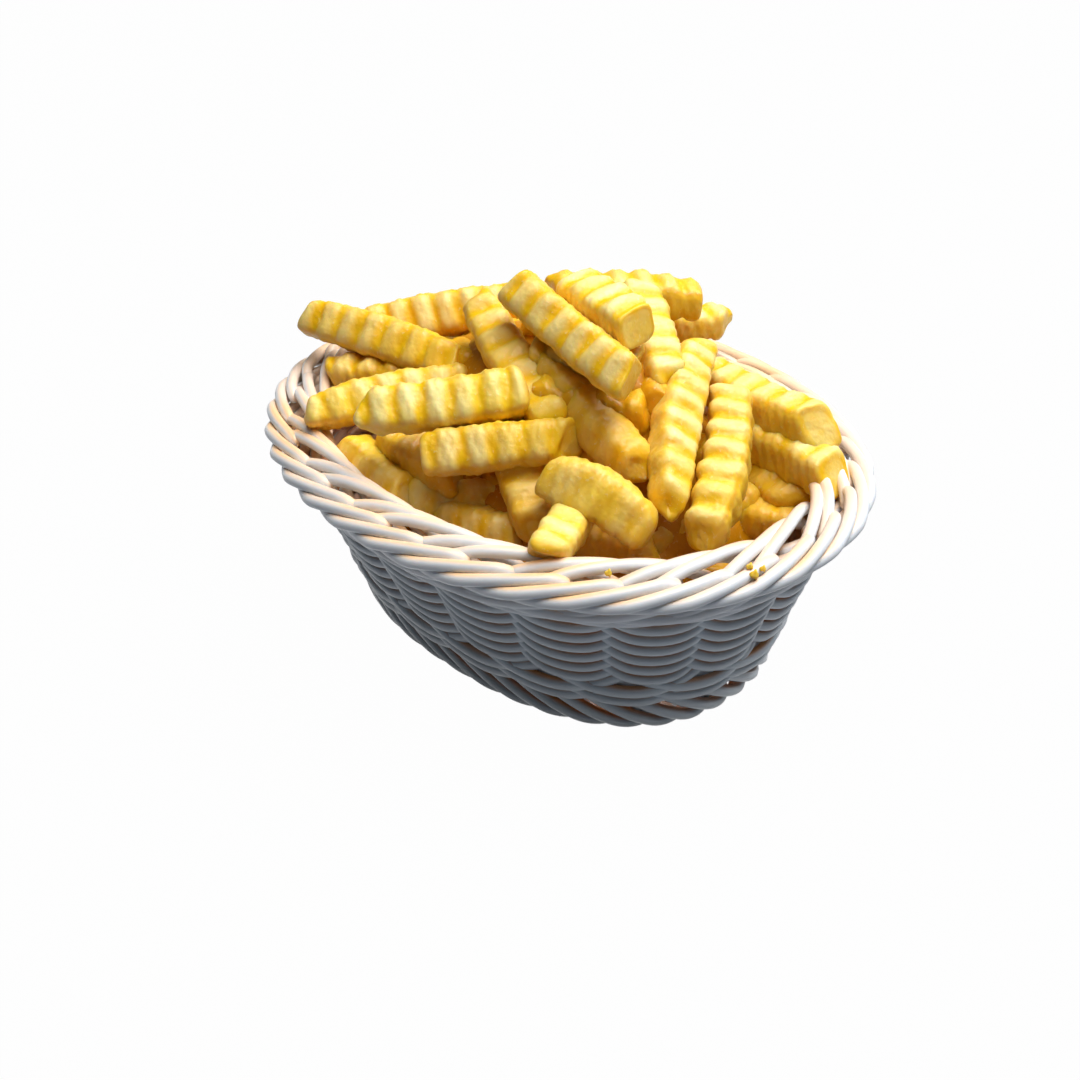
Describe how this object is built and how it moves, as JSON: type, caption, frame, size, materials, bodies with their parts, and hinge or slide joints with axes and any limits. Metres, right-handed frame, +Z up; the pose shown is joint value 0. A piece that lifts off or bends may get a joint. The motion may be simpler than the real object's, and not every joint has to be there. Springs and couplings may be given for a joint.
{
  "type": "fries_basket",
  "caption": "crinkle-cut fries heaped in a flared oval basket woven from round white cane, with a rolled border and a foot ring",
  "frame": {"origin": "middle of the basket's oval outline, on the surface it stands on", "axes": "+X along the long side of the oval, +Y across it, +Z up"},
  "size_m": [0.171, 0.1364, 0.101],
  "materials": {
    "rim_cane": "smooth extruded round cane, soft gloss",
    "wall_cane": "smooth extruded round cane, soft gloss",
    "foot_cane": "smooth extruded round cane, soft gloss",
    "floor_cane": "smooth extruded round cane, soft gloss",
    "golden_fries": null
  },
  "bodies": {
    "root": {"basket_rim": "rim_cane", "basket_wall": "wall_cane", "basket_foot": "foot_cane", "basket_floor": "floor_cane", "fries_heap": "golden_fries"}
  },
  "joints": []
}
